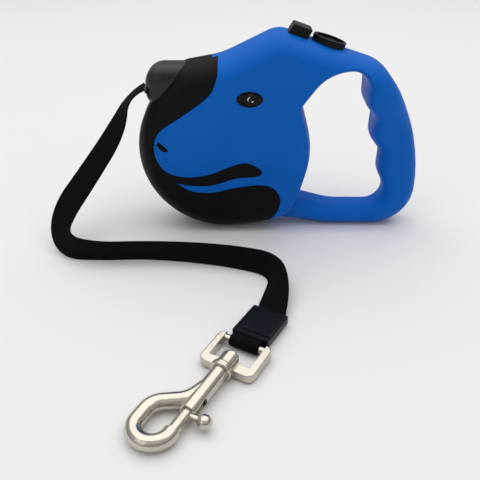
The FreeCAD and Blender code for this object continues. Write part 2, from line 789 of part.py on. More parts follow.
# ---- sleeve, eye and snap hook ------------------------------------------------------
def heading_vector(drop):
    flat = Vector(HOOK_HEADING[0], HOOK_HEADING[1], 0).normalize()
    angle = math.radians(drop)
    return Vector(flat.x * math.cos(angle), flat.y * math.cos(angle), -math.sin(angle))


def side_vector():
    flat = Vector(HOOK_HEADING[0], HOOK_HEADING[1], 0).normalize()
    return Vector(flat.y, -flat.x, 0)


def hook_frame():
    """Local Y along the hook's axis to its tip, local X to the loop's side, Z up."""
    return frame_placement(HOOK_ORIGIN, side_vector(), heading_vector(HOOK_DROP))


def bar_centre():
    return hook_frame().multVec(Vector(0, -BAR_DISTANCE, -EYE_SINK))


def sleeve_frame():
    """Local Y towards the hook, at the eye's bar; the sleeve lies at -Y."""
    return frame_placement(bar_centre(), side_vector(), heading_vector(-SLEEVE_DROP))


def axis_rod(radius, y_low, y_high, x=0.0, z=0.0):
    return Part.makeCylinder(radius, y_high - y_low, Vector(x, y_low, z), Y_AXIS)


SLEEVE_HALF_WIDTH = 9.75
SLEEVE_LOW = -27.0
SLEEVE_HIGH = -4.2
SLEEVE_HALF_HEIGHT = 2.6
SLEEVE_EDGE = 1.2
SLEEVE_LIP = 3.0                # length of the lower band at the sleeve's open end
SLEEVE_STEP = 0.4
LOOP_CLEARANCE = 0.35
LOOP_SPLIT = 0.02               # half the gap between the two layers


def sleeve_core():
    """The double layer of tape inside the sleeve."""
    return Part.makeBox(TAPE_WIDTH, SLEEVE_HIGH - SLEEVE_LOW + 2, 2 * TAPE_THICKNESS,
                        Vector(-TAPE_WIDTH / 2, SLEEVE_LOW, -TAPE_THICKNESS))


def tape_sleeve():
    body = Part.makeBox(2 * SLEEVE_HALF_WIDTH, SLEEVE_HIGH - SLEEVE_LOW, 2 * SLEEVE_HALF_HEIGHT,
                        Vector(-SLEEVE_HALF_WIDTH, SLEEVE_LOW, -SLEEVE_HALF_HEIGHT))
    body = body.makeFillet(SLEEVE_EDGE, body.Edges)
    step = Part.makeBox(2 * SLEEVE_HALF_WIDTH, SLEEVE_LIP, SLEEVE_STEP,
                        Vector(-SLEEVE_HALF_WIDTH, SLEEVE_HIGH - SLEEVE_LIP,
                               SLEEVE_HALF_HEIGHT - SLEEVE_STEP))
    return placed(body.cut([step, sleeve_core()]), sleeve_frame())


def tape_loop():
    """Tape folded round the eye's bar, its two layers meeting inside the sleeve."""
    inner = BAR_RADIUS + LOOP_CLEARANCE
    outer = inner + TAPE_THICKNESS
    layers = loop_outline(outer, TAPE_THICKNESS, SLEEVE_LOW + 0.3)
    hollow = loop_outline(inner, LOOP_SPLIT, SLEEVE_HIGH - 0.5)
    return placed(layers.cut(hollow), sleeve_frame())


def loop_outline(radius, half_gap, y_end):
    """A round nose about the bar that runs together into a thin double layer."""
    y_meet = SLEEVE_HIGH + 0.4
    distance = math.hypot(y_meet, half_gap)
    angle = math.atan2(half_gap, y_meet) - math.acos(radius / distance)
    touch = (radius * math.cos(angle), radius * math.sin(angle))
    top = [Vector(0, y_end, half_gap), Vector(0, y_meet, half_gap), Vector(0, touch[0], touch[1])]
    low = [Vector(0, point.y, -point.z) for point in top]
    edges = [Part.LineSegment(top[0], top[1]).toShape(), Part.LineSegment(top[1], top[2]).toShape(),
             Part.Arc(top[2], Vector(0, radius, 0), low[2]).toShape(),
             Part.LineSegment(low[2], low[1]).toShape(), Part.LineSegment(low[1], low[0]).toShape(),
             Part.LineSegment(low[0], top[0]).toShape()]
    face = Part.Face(Part.Wire(edges))
    face.translate(Vector(-TAPE_WIDTH / 2, 0, 0))
    return face.extrude(Vector(TAPE_WIDTH, 0, 0))


EYE_HALF_WIDTH = 14.0
EYE_HALF_HEIGHT = 2.3
EYE_NEAR = -0.4
EYE_FAR = -BAR_DISTANCE - 2.0
EYE_CORNER = 3.4
EYE_RIM = 0.7
WINDOW_HALF_WIDTH = 10.6
WINDOW_NEAR = -5.0
BOSS_RADIUS = 4.4
BOSS_LENGTH = 6.0


def swivel_eye():
    """Square cast eye: a U with a round bar for the tape and a bored boss for the post."""
    size = EYE_NEAR - EYE_FAR
    body = Part.makeBox(2 * EYE_HALF_WIDTH, size, 2 * EYE_HALF_HEIGHT,
                        Vector(-EYE_HALF_WIDTH, EYE_FAR, -EYE_HALF_HEIGHT))
    body = body.makeFillet(EYE_CORNER, [e for e in body.Edges if e.BoundBox.ZLength > 1])
    body = body.makeFillet(EYE_RIM, [e for e in body.Edges if e.BoundBox.ZLength < 1e-6])
    window = Part.makeBox(2 * WINDOW_HALF_WIDTH, size, 4 * EYE_HALF_HEIGHT,
                          Vector(-WINDOW_HALF_WIDTH, WINDOW_NEAR - size, -2 * EYE_HALF_HEIGHT))
    boss = axis_rod(BOSS_RADIUS, EYE_NEAR - BOSS_LENGTH, EYE_NEAR)
    bar_half = WINDOW_HALF_WIDTH + 0.6
    bar = Part.makeCylinder(BAR_RADIUS, 2 * bar_half, Vector(-bar_half, -BAR_DISTANCE, 0), Vector(1, 0, 0))
    frame = body.cut(window).fuse(bar)
    frame.translate(Vector(0, 0, -EYE_SINK))
    body = frame.fuse(boss)
    return placed(body.cut(axis_rod(POST_RADIUS + 0.08, -10, 5)).removeSplitter(), hook_frame())


COLLAR_RADIUS = 5.4
COLLAR_START = 0.1
COLLAR_END = 3.4
COLLAR_EDGE = 0.8
TUBE_RADIUS = 4.0
TUBE_START = 2.0
TUBE_END = 29.0
BORE_RADIUS = 2.8
BORE_START = 7.0
POST_END = 5.0
BOLT_RADIUS = 2.72
ARM_RADIUS = 3.7
ARM_POINTS = (
    (0.5, 13.0, 0.0),
    (3.5, 23.0, 12.0),
    (16.3, 31.5, 8.8),
    (16.3, 49.6, 8.1),
    (0.0, 49.6, 8.1),
    (0.0, 40.4, 0.0),
)


def hook_plane_point(x, y):
    return Vector(x, y, 0)


def hook_body():
    """Collar, bolt tube and hook arm, cast in one piece."""
    path = Part.Wire(rounded_edges(ARM_POINTS, False, hook_plane_point))
    heading = hook_plane_point(*ARM_POINTS[1][:2]) - hook_plane_point(*ARM_POINTS[0][:2])
    profile = Part.Wire([Part.makeCircle(ARM_RADIUS, hook_plane_point(*ARM_POINTS[0][:2]), heading)])
    arm = path.makePipeShell([profile], True, False)
    collar = axis_rod(COLLAR_RADIUS, COLLAR_START, COLLAR_END)
    collar = collar.makeFillet(COLLAR_EDGE, [e for e in collar.Edges if e.BoundBox.YLength < 1e-6])
    tube = axis_rod(TUBE_RADIUS, TUBE_START, TUBE_END)
    bore = axis_rod(BORE_RADIUS, BORE_START, TUBE_END + 1)
    slot_start = KNOB_PLACE - BOLT_TRAVEL - KNOB_STEM_RADIUS - 0.4
    slot = Part.makeBox(8, TUBE_END + 1 - slot_start, 2 * KNOB_STEM_RADIUS + 0.6,
                        Vector(-8, slot_start, -KNOB_STEM_RADIUS - 0.3))
    body = tube.fuse([collar, arm]).removeSplitter()
    return placed(body.cut([bore, slot, axis_rod(POST_RADIUS, -1, POST_END)]), hook_frame())


HEAD_RADIUS = 3.5
HEAD_START = -8.6
HEAD_END = -6.9
HEAD_EDGE = 0.9


def swivel_post():
    """The rivet that joins hook and eye, its head inside the eye's window."""
    shank = axis_rod(POST_RADIUS, HEAD_START + HEAD_EDGE, POST_END)
    head = axis_rod(HEAD_RADIUS, HEAD_START, HEAD_END)
    head = head.makeFillet(HEAD_EDGE, [e for e in head.Edges if e.BoundBox.YMax < HEAD_START + 0.1])
    return placed(shank.fuse(head).removeSplitter(), hook_frame())


BOLT_START = 21.0
BOLT_END = 40.0
BOLT_EDGE = 0.5
KNOB_PLACE = 30.0
KNOB_REACH = 8.8
KNOB_RADIUS = 3.3
KNOB_STEM_RADIUS = 1.5


def hook_bolt():
    bolt = axis_rod(BOLT_RADIUS, BOLT_START, BOLT_END)
    bolt = bolt.makeFillet(BOLT_EDGE, [e for e in bolt.Edges if e.BoundBox.YMin > BOLT_END - 0.1])
    return placed(bolt.cut(knob_stem()), hook_frame())


def knob_stem():
    start = Vector(-0.5, KNOB_PLACE, 0)
    return Part.makeCylinder(KNOB_STEM_RADIUS, KNOB_REACH - 0.5, start, Vector(-1, 0, 0))


def bolt_knob():
    """Stem and ball turned in one piece, set crosswise into the bolt."""
    neck = KNOB_REACH - math.sqrt(KNOB_RADIUS ** 2 - KNOB_STEM_RADIUS ** 2)
    corners = [
        Vector(-0.5, 0, 0),
        Vector(-0.5, KNOB_STEM_RADIUS, 0),
        Vector(-neck, KNOB_STEM_RADIUS, 0),
    ]
    top = Vector(-KNOB_REACH, KNOB_RADIUS, 0)
    end = Vector(-KNOB_REACH - KNOB_RADIUS, 0, 0)
    edges = [
        Part.LineSegment(corners[0], corners[1]).toShape(),
        Part.LineSegment(corners[1], corners[2]).toShape(),
        Part.Arc(corners[2], top, end).toShape(),
        Part.LineSegment(end, corners[0]).toShape(),
    ]
    knob = Part.Face(Part.Wire(edges)).revolve(Vector(0, 0, 0), Vector(1, 0, 0), 360)
    knob.translate(Vector(0, KNOB_PLACE, 0))
    return placed(knob, hook_frame())


def bolt_spring():
    wire = 0.35
    room = BOLT_START - BORE_START
    spring = coil(2.1, wire, room - 4 * wire, 7)
    spring.rotate(Vector(0, 0, 0), Vector(1, 0, 0), -90)
    spring.translate(Vector(0, BORE_START + 2 * wire, 0))
    return placed(spring, hook_frame())


# ---- everything ---------------------------------------------------------------------
def casing_nodes():
    body = casing_body()
    skin = drum_block(0).cut(drum_block(MASK_DEPTH))
    nodes = {}
    for name, front in (("front", True), ("rear", False)):
        half = body.common(half_space(front))
        marking = mask(front, skin, half)
        shell = half.cut([marking, eye_shape(front, -EYE_RECESS, 5)])
        nodes[name + "_shell"] = shell
        nodes[name + "_mask"] = marking
        eye = eye_shape(front, -EYE_RECESS, EYE_PROUD)
        outer_y = (-1 if front else 1) * (DRUM_HALF + EYE_PROUD)
        rim = [e for e in eye.Edges if abs(e.BoundBox.YMin - outer_y) < 0.01 and e.BoundBox.YLength < 0.01]
        nodes[name + "_eye"] = eye.makeFillet(0.6, rim)
    return nodes


def all_nodes():
    nodes = casing_nodes()
    nodes.update({
        "nose_guide": nose_guide(),
        "casing_screws": casing_screws(),
        "axle": axle(),
        "spring_arbor": spring_arbor(),
        "spool_drum": spool_drum(),
        "rear_flange": rear_flange(),
        "spring_cover": spring_cover(),
        "spool_screws": spool_screws(),
        "power_spring": power_spring(),
        "tape_roll": tape_roll(),
        "tape_inner": tape_inner(),
        "brake_button": brake_button(),
        "brake_spring": brake_spring(),
        "lock_slider": lock_slider(),
        "leash_tape": leash_tape(),
        "tape_sleeve": tape_sleeve(),
        "tape_loop": tape_loop(),
        "swivel_eye": swivel_eye(),
        "swivel_post": swivel_post(),
        "hook_body": hook_body(),
        "hook_bolt": hook_bolt(),
        "bolt_knob": bolt_knob(),
        "bolt_spring": bolt_spring(),
    })
    return nodes


def main():
    os.makedirs("parts", exist_ok=True)
    for name, shape in all_nodes().items():
        solids = shape.Solids
        print(name, "valid", shape.isValid(), "solids", len(solids), "volume", round(shape.Volume, 1))
        shape.exportStep(f"parts/{name}.step")


main()
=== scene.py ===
import math

import bpy
import numpy as np
from mathutils import Matrix, Vector
from mathutils.geometry import delaunay_2d_cdt


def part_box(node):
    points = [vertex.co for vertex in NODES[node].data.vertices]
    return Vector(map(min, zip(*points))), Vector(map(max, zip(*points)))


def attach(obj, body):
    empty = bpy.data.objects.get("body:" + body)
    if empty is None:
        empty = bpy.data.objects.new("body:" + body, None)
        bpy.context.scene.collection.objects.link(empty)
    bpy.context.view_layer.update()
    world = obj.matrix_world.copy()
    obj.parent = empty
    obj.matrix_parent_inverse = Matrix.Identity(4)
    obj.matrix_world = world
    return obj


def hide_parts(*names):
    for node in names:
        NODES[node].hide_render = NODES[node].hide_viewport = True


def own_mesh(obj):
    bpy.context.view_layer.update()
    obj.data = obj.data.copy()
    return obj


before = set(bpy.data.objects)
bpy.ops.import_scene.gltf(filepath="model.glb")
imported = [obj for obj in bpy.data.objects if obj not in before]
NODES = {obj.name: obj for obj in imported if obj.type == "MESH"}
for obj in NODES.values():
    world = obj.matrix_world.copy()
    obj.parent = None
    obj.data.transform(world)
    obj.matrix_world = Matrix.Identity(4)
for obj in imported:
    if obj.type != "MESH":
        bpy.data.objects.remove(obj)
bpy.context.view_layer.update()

# Lengths below are millimetres and become metres on the way into a mesh.
MM = 0.001

# ---- casing: driving dimensions --------------------------------------------------------
DRUM_RADIUS = 50.0
DRUM_X = -32.5
DRUM_Z = 50.0

CASING_POINTS = (
    (-56.0, 99.0, 12.0),
    (-33.5, 103.2, 40.0),
    (-3.0, 118.0, 14.0),
    (54.2, 99.6, 26.0),
    (65.7, 85.9, 66.0),
    (77.1, 61.5, 100.0),
    (82.5, 36.0, 100.0),
    (82.5, 0.0, 24.0),
    (28.0, 0.0, 60.0),
    (4.0, 4.0, 40.0),
)
HOLE_POINTS = (
    (11.5, 78.0, 3.0),
    (19.1, 50.5, 50.0),
    (11.0, 18.8, 3.0),
    (32.0, 13.0, 40.0),
    (63.6, 13.0, 10.0),
    (63.2, 25.6, 8.0),
    (58.6, 35.4, 12.0),
    (58.8, 48.4, 6.5),
    (51.6, 57.4, 9.0),
    (52.8, 70.2, 6.0),
    (46.6, 78.0, 8.0),
    (46.2, 97.2, 9.0),
    (25.5, 97.2, 22.0),
)
DECK_POINTS = CASING_POINTS[:3] + (
    (50.0, 101.0, 12.0),
    (44.0, 80.0, 12.0),
    (22.0, 70.0, 12.0),
)
MASK_EDGE = (
    (-35.5, 97.0), (-39.0, 88.0), (-45.5, 81.5), (-58.0, 72.6), (-68.5, 65.2),
    (-72.2, 57.0), (-71.2, 47.8), (-65.5, 40.0), (-54.0, 37.0), (-41.0, 38.9),
    (-29.0, 43.8), (-20.0, 46.0), (-12.5, 42.6), (-11.2, 39.2), (-15.5, 37.2),
    (-26.0, 36.2), (-40.0, 31.8), (-52.0, 31.6), (-61.0, 33.4),
)
MASK_CHIN = (
    (-61.0, 33.4), (-52.0, 28.0), (-40.0, 27.0), (-26.0, 30.2), (-12.0, 31.9),
    (-3.5, 29.4), (0.3, 22.0), (-1.5, 13.8), (-5.0, 8.0), (-8.0, -4.0),
)
REAR_STEP = 3.6
MARK_LEFT = -120                # the marking's area is closed well outside the casing
MARK_LOW = -20
MARK_HIGH = 130
SCREWS = ((-14.0, 100.0), (5.0, 13.0), (56.0, 84.5), (71.5, 40.0), (72.0, 14.0))

FACE_HALF = 17.5                # half thickness at the flat faces
FACE_WALL = 5.0                 # where the rounding of the drum's rim starts
FACE_BEVEL = 9.5                # how far in the rounding of the drum's rim reaches
HOLE_BEVEL = 3.2                # the same, along the finger hole
GRIP_HALF = 10.8
GRIP_WALL = 2.0
GRIP_BEVEL = 8.5
LOW_BLEND = 6.0                 # how far the drum's thickness runs into the lower bar
HIGH_BLEND = 42.0               # the same, at the top of the grip
GROOVE_DEPTH = 0.55             # line between the shell and its dark marking
GROOVE_WIDTH = 0.55
SCREW_RECESS = 3.2
SCREW_WELL_DEPTH = 3.4
GRID = 1.6
STEP = 1.2


# ---- outlines --------------------------------------------------------------------------
def turned(vector, angle):
    return Matrix.Rotation(angle, 2) @ vector


def rounded(points, closed=True):
    """A polygon with its corners rounded, as a dense list of points."""
    count = len(points)
    line = []
    for i, (x, z, radius) in enumerate(points):
        corner = Vector((x, z))
        inner = closed or 0 < i < count - 1
        if not inner or radius == 0:
            line.append(corner)
            continue
        before = (corner - Vector(points[i - 1][:2])).normalized()
        after = (Vector(points[(i + 1) % count][:2]) - corner).normalized()
        bend = math.atan2(before.cross(after), before.dot(after))
        start = corner - before * radius * math.tan(abs(bend) / 2)
        side = math.copysign(1, bend)
        centre = start + Vector((-before.y, before.x)) * radius * side
        steps = max(3, math.ceil(abs(bend) / math.radians(5)))
        for k in range(steps + 1):
            line.append(centre + turned(start - centre, bend * k / steps))
    return line


def even(line, step, closed):
    """The same line with its points a fixed distance apart."""
    points = np.array([tuple(p) for p in line])
    if closed:
        points = np.vstack([points, points[:1]])
    reach = np.hypot(*np.diff(points, axis=0).T)
    along = np.concatenate([[0], np.cumsum(reach)])
    count = max(4, round(along[-1] / step))
    places = np.linspace(0, along[-1], count + 1)
    if closed:
        places = places[:-1]
    return np.stack([np.interp(places, along, points[:, 0]),
                     np.interp(places, along, points[:, 1])], axis=1)


def tangent_point(corner, upper):
    """Where the line from a corner touches the drum's circle."""
    towards = Vector((corner[0] - DRUM_X, corner[1] - DRUM_Z))
    swing = math.acos(DRUM_RADIUS / towards.length)
    angle = math.atan2(towards.y, towards.x) + (swing if upper else -swing)
    return (DRUM_X + DRUM_RADIUS * math.cos(angle), DRUM_Z + DRUM_RADIUS * math.sin(angle))


def drum_outline(points):
    """The drum's circle closed by a chain of rounded corners, seen from the front."""
    first = tangent_point(points[0], True)
    last = tangent_point(points[-1], False)
    chain = rounded([(*first, 0)] + list(points) + [(*last, 0)], closed=False)
    start = math.atan2(last[1] - DRUM_Z, last[0] - DRUM_X)
    end = math.atan2(first[1] - DRUM_Z, first[0] - DRUM_X) - 2 * math.pi
    for angle in np.linspace(start, end, 120)[1:-1]:
        chain.append(Vector((DRUM_X + DRUM_RADIUS * math.cos(angle),
                             DRUM_Z + DRUM_RADIUS * math.sin(angle))))
    return even(chain, STEP, True)


def smooth_line(points):
    """A soft curve through given points."""
    ends = [2 * Vector(points[0]) - Vector(points[1])] + [Vector(p) for p in points]
    ends.append(2 * Vector(points[-1]) - Vector(points[-2]))
    line = []
    for p0, p1, p2, p3 in zip(ends, ends[1:], ends[2:], ends[3:]):
        for k in range(12):
            t = k / 12
            line.append(0.5 * (2 * p1 + (p2 - p0) * t + (2 * p0 - 5 * p1 + 4 * p2 - p3) * t ** 2
                               + (3 * p1 - p0 - 3 * p2 + p3) * t ** 3))
    line.append(ends[-2])
    return line


OUTLINE = drum_outline(CASING_POINTS)
DRUM = drum_outline(DECK_POINTS)
HOLE = even(rounded(HOLE_POINTS), STEP, True)


# ---- distances -------------------------------------------------------------------------
def distance(places, line, closed=True):
    """Shortest distance from each place to a line, as an array."""
    starts = line
    ends = np.roll(line, -1, axis=0)
    if not closed:
        starts, ends = line[:-1], line[1:]
    run = ends - starts
    length = np.maximum((run ** 2).sum(axis=1), 1e-12)
    best = np.full(len(places), np.inf)
    for start, along, size in zip(starts, run, length):
        t = np.clip(((places - start) @ along) / size, 0, 1)
        gap = places - start - t[:, None] * along
        best = np.minimum(best, np.hypot(gap[:, 0], gap[:, 1]))
    return best


def inside(places, line):
    """Even-odd test of each place against a closed line."""
    result = np.zeros(len(places), bool)
    x, z = places[:, 0], places[:, 1]
    for (x0, z0), (x1, z1) in zip(line, np.roll(line, -1, axis=0)):
        if z0 == z1:
            continue
        crosses = (z0 > z) != (z1 > z)
        result ^= crosses & (x < (x1 - x0) * (z - z0) / (z1 - z0) + x0)
    return result


def signed(places, line):
    return np.where(inside(places, line), 1, -1) * distance(places, line)


# ---- the casing's height over its middle plane ------------------------------------------
def roll(depth, reach, fullness=2.0):
    """0 at the edge, 1 once reach is passed; a quarter ellipse at fullness 2."""
    t = np.clip(depth / reach, 0, 1)
    return (1 - (1 - t) ** fullness) ** (1 / fullness)


def ease(t):
    t = np.clip(t, 0, 1)
    return t * t * (3 - 2 * t)


def between(a, b, t):
    return a + (b - a) * t


def grip_share(places):
    """0 on the drum and button deck, 1 where the hand grip has its own thickness."""
    past_drum = np.maximum(-signed(places, DRUM), 0)
    blend = between(LOW_BLEND, HIGH_BLEND, ease((places[:, 1] - 25) / 50))
    return ease(past_drum / blend)


def casing_height(places):
    """Half thickness at each place: flat on the drum, oval round the hand grip."""
    outer = distance(places, OUTLINE)
    hole = distance(places, HOLE)
    grip = grip_share(places)
    wall = between(FACE_WALL, GRIP_WALL, grip)
    half = between(FACE_HALF, GRIP_HALF, grip)
    outer_rim = roll(outer, between(FACE_BEVEL, GRIP_BEVEL, grip), between(1.7, 2.0, grip))
    hole_rim = roll(hole, between(HOLE_BEVEL, GRIP_BEVEL, grip))
    return wall + (half - wall) * outer_rim * hole_rim


def mask_line(front):
    """The dark marking's edge, from above the casing to below it."""
    step = 0.0 if front else REAR_STEP
    top_x, top_z = MASK_EDGE[0]
    start = [Vector((top_x - step, MARK_HIGH)), Vector((top_x - step, top_z + 3))]
    end = [Vector((MASK_CHIN[-1][0], MARK_LOW))]
    return even(start + smooth_line(MASK_EDGE)[:-1] + smooth_line(MASK_CHIN) + end, 0.8, False)


def mask_area(line):
    return np.vstack([line, [(MARK_LEFT, MARK_LOW), (MARK_LEFT, MARK_HIGH)]])


# ---- mesh helpers ----------------------------------------------------------------------
def new_piece(name, vertices, faces, body, material):
    mesh = bpy.data.meshes.new(name)
    mesh.from_pydata([tuple(MM * c for c in v) for v in vertices], [], faces)
    mesh.validate()
    mesh.update()
    mesh.shade_smooth()
    mesh.materials.append(material)
    piece = bpy.data.objects.new(name, mesh)
    bpy.context.scene.collection.objects.link(piece)
    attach(piece, body)
    return piece


def left_of(line):
    """Unit vectors to the left of a closed line, away from the casing's material."""
    run = np.roll(line, -1, axis=0) - np.roll(line, 1, axis=0)
    run /= np.hypot(run[:, 0], run[:, 1])[:, None]
    return np.stack([-run[:, 1], run[:, 0]], axis=1)


def inset_line(line, inset):
    """A closed line moved to its left by inset."""
    return line + inset * left_of(line)


def rim_rings(line, other, face_reach, rings=10):
    """Rows of places that climb a rim in equal turns, up to half way to the other rim."""
    reach = between(face_reach, GRIP_BEVEL, grip_share(line))
    found = []
    for k in range(1, rings + 1):
        inset = reach * (1 - math.cos(math.pi / 2 * k / rings))
        row = inset_line(line, -inset[:, None])
        clear = distance(row, other) > inset - 0.1
        clear &= distance(row, line) > inset * 0.93
        found.append(row[clear])
    return np.vstack(found)


def circle_line(x, z, radius, count=28):
    turns = np.linspace(0, 2 * math.pi, count, endpoint=False)
    return np.stack([x + radius * np.cos(turns), z + radius * np.sin(turns)], axis=1)


def screw_rings(front):
    if front:
        return []
    return [circle_line(x, z, SCREW_RECESS) for x, z in SCREWS]


def face_points(marking, rings):
    """Where the casing's face is sampled: rings along its rims and a grid between."""
    groups = [rim_rings(OUTLINE, HOLE, FACE_BEVEL), rim_rings(HOLE, OUTLINE, HOLE_BEVEL)]
    for offset in (-1.0, -0.6, -0.3, 0.3, 0.6, 1.0):
        shifted = inset_line(marking, offset * GROOVE_WIDTH)
        groups.append(shifted[1:-1])
    for ring in rings:
        centre = ring.mean(axis=0)
        groups.append(centre + (ring - centre) * 1.15)
    across = np.arange(-84, 84, GRID)
    up = np.arange(-1, 120, GRID)
    grid = np.stack(np.meshgrid(across, up), axis=-1).reshape(-1, 2)
    grid[:, 0] += (np.floor(grid[:, 1] / GRID) % 2) * GRID / 2
    share = grip_share(grid)
    open_face = distance(grid, OUTLINE) > between(FACE_BEVEL, GRIP_BEVEL, share) * 1.06
    open_face &= distance(grid, HOLE) > between(HOLE_BEVEL, GRIP_BEVEL, share) * 1.06
    groups.append(grid[open_face])
    places = np.vstack(groups)
    keep = inside(places, OUTLINE) & ~inside(places, HOLE)
    keep &= distance(places, OUTLINE) > 0.08
    keep &= distance(places, HOLE) > 0.08
    for ring in rings:
        keep &= ~inside(places, ring)
    return places[keep]


def thin_out(places, gap):
    """Drop places that fall nearly on top of one another."""
    seen = set()
    kept = []
    for x, z in places:
        cell = (round(x / gap), round(z / gap))
        if cell not in seen:
            seen.add(cell)
            kept.append((x, z))
    return kept


def casing_half(front):
    """One casing half as two pieces: the coloured shell and its dark marking."""
    marking = mask_line(front)
    area = mask_area(marking)
    rings = screw_rings(front)
    fixed = [tuple(p) for p in OUTLINE] + [tuple(p) for p in HOLE]
    edges = []
    for first, count in ((0, len(OUTLINE)), (len(OUTLINE), len(HOLE))):
        edges += [(first + k, first + (k + 1) % count) for k in range(count)]
    first = len(fixed)
    fixed += [tuple(p) for p in marking]
    edges += [(first + k, first + k + 1) for k in range(len(marking) - 1)]
    for ring in rings:
        first = len(fixed)
        fixed += [tuple(p) for p in ring]
        edges += [(first + k, first + (k + 1) % len(ring)) for k in range(len(ring))]
    loose = thin_out(face_points(marking, rings), 0.1)
    flat = [Vector(p) for p in fixed + loose]
    places, _, triangles, origins, _, _ = delaunay_2d_cdt(flat, edges, [], 0, 1e-5)
    places = np.array([tuple(p) for p in places])
    triangles = np.array(triangles)
    middle = places[triangles].mean(axis=1)
    keep = inside(middle, OUTLINE) & ~inside(middle, HOLE)
    for ring in rings:
        keep &= ~inside(middle, ring)
    triangles = triangles[keep]
    dark = inside(middle[keep], area)
    height = skin_height(places, marking)
    sign = -1 if front else 1
    top = [(x, sign * y, z) for (x, z), y in zip(places, height)]
    normals = skin_normals(places, marking, sign)
    shell = [tuple(t) for t in triangles[~dark]]
    mask = [tuple(t) for t in triangles[dark]]
    corners = list(top)
    lookup = {source: i for i, sources in enumerate(origins) for source in sources}
    first = 0
    for line in (OUTLINE, HOLE):
        rims = [lookup[first + k] for k in range(len(line))]
        for rim, (x, z) in zip(rims, left_of(line)):
            normals[rim] = (x, 0, z)
        wall(line, rims, sign, area, height, corners, normals, shell, mask)
        first += len(line)
    first += len(marking)
    for ring in rings:
        rims = [lookup[first + k] for k in range(len(ring))]
        screw_well(ring, rims, height, corners, normals, shell)
        first += len(ring)
    label = "front" if front else "rear"
    pieces = []
    for name, faces, material in ((label + "_shell_skin", shell, blue_plastic),
                                  (label + "_mask_skin", mask, soft_black)):
        faces = [outward(face, corners, normals) for face in faces]
        used = sorted({i for face in faces for i in face})
        renumber = {old: new for new, old in enumerate(used)}
        faces = [tuple(renumber[i] for i in face) for face in faces]
        piece = new_piece(name, [corners[i] for i in used], faces, "casing", material)
        piece.data.normals_split_custom_set_from_vertices([normals[i] for i in used])
        pieces.append(piece)
    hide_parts(label + "_shell")
    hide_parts(label + "_mask")
    return pieces


def outward(face, corners, normals):
    """The face's corners in the order that turns it the way its surface points."""
    first, second, third = (Vector(corners[i]) for i in face[:3])
    if (second - first).cross(third - second).dot(Vector(normals[face[1]])) < 0:
        return tuple(reversed(face))
    return tuple(face)


def skin_height(places, marking):
    """The casing's height with the fine groove along the dark marking."""
    gap = distance(places, marking, False)
    return casing_height(places) - GROOVE_DEPTH * np.clip(1 - gap / GROOVE_WIDTH, 0, 1) ** 2


def skin_normals(places, marking, sign):
    """Surface directions read from the height itself, so that no triangle shows."""
    reach = 0.05
    slopes = []
    for shift in ((reach, 0), (0, reach)):
        ahead = skin_height(places + shift, marking)
        behind = skin_height(places - shift, marking)
        slopes.append((ahead - behind) / (2 * reach))
    found = []
    for across, up in zip(*slopes):
        found.append(tuple(Vector((-across, sign, -up)).normalized()))
    return found


def wall(line, rims, sign, area, height, corners, normals, shell, mask):
    """The upright side from the face's rim down to the joint between the halves."""
    count = len(line)
    away = left_of(line)
    rows = []
    for k, (x, z) in enumerate(line):
        row = [rims[k]]
        for part in (0.66, 0.33, 0.0):
            corners.append((x, sign * height[rims[k]] * part, z))
            normals.append((away[k][0], 0, away[k][1]))
            row.append(len(corners) - 1)
        rows.append(row)
    middle = (line + np.roll(line, -1, axis=0)) / 2
    dark = inside(middle, area)
    for k in range(count):
        here, there = rows[k], rows[(k + 1) % count]
        for a in range(len(here) - 1):
            face = (here[a], here[a + 1], there[a + 1], there[a])
            (mask if dark[k] else shell).append(face)


def screw_well(ring, rims, height, corners, normals, shell):
    """Round recess round a casing screw's head, its edge kept crisp by rows of its own."""
    count = len(ring)
    low = min(height[i] for i in rims) - SCREW_WELL_DEPTH
    centre = ring.mean(axis=0)
    rows = []
    for lowest in (False, True):
        row = []
        for (x, z), rim in zip(ring, rims):
            corners.append((x, low if lowest else height[rim], z))
            inward = Vector((centre[0] - x, 0, centre[1] - z)).normalized()
            normals.append(tuple(inward))
            row.append(len(corners) - 1)
        rows.append(row)
    floor = []
    for x, z in ring:
        corners.append((x, low, z))
        normals.append((0, 1, 0))
        floor.append(len(corners) - 1)
    for k in range(count):
        after = (k + 1) % count
        shell.append((rows[0][k], rows[1][k], rows[1][after], rows[0][after]))
    shell.append(tuple(floor))


# ---- eye and nostril -------------------------------------------------------------------
EYE_CENTRE = (-18.3, 84.1)
EYE_LONG = 7.8
EYE_SHORT = 4.8
EYE_DOME = 0.87
EYE_FACE = FACE_HALF - 0.3      # the eye is set a little into the face
IRIS_RADIUS = 3.7
IRIS_LIFT = 0.465               # lifts are heights over EYE_FACE
IRIS_DOME = 0.446
PUPIL_RADIUS = 2.3
PUPIL_LIFT = 0.82
PUPIL_DOME = 0.136
GLINT_RADIUS = 0.55
GLINT_LIFT = 0.88
GLINT_DOME = 0.093
ARC_RADIUS = 1.6
ARC_LIFT = 0.918
NOSTRIL = ((-72.6, 57.8), (-70.6, 57.6), (-69.4, 59.3), (-67.2, 57.3), (-64.6, 54.7),
           (-64.8, 53.3), (-67.0, 53.4), (-69.2, 55.2), (-70.4, 56.9))


